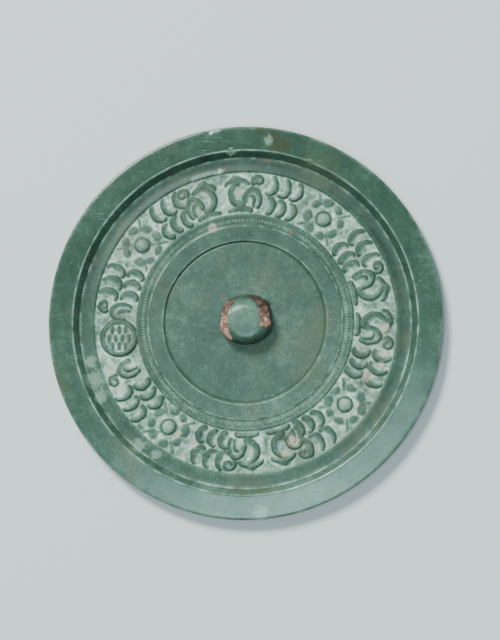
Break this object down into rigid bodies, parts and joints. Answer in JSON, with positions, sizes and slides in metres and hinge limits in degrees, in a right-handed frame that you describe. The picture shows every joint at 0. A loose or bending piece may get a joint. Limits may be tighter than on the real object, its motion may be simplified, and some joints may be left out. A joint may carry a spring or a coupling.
{
  "type": "bronze mirror",
  "caption": "Round cast bronze mirror with a plain raised rim, a relief band of confronting birds between nipples and a pierced knob for a cord.",
  "frame": {"origin": "centre of the polished face, on the surface that the mirror lies on with its decorated back up", "axes": "+Z out of the decorated back, along the mirror's axis; +X along the knob's cord hole, away from the round seal; +Y to the side of the top pair of birds"},
  "size_m": [0.15, 0.15, 0.0117],
  "materials": {
    "patinated_bronze": "grey-green patina over cast bronze, satin, with a little brown and red corrosion"
  },
  "bodies": {
    "root": {"mirror": "patinated_bronze"}
  },
  "joints": []
}
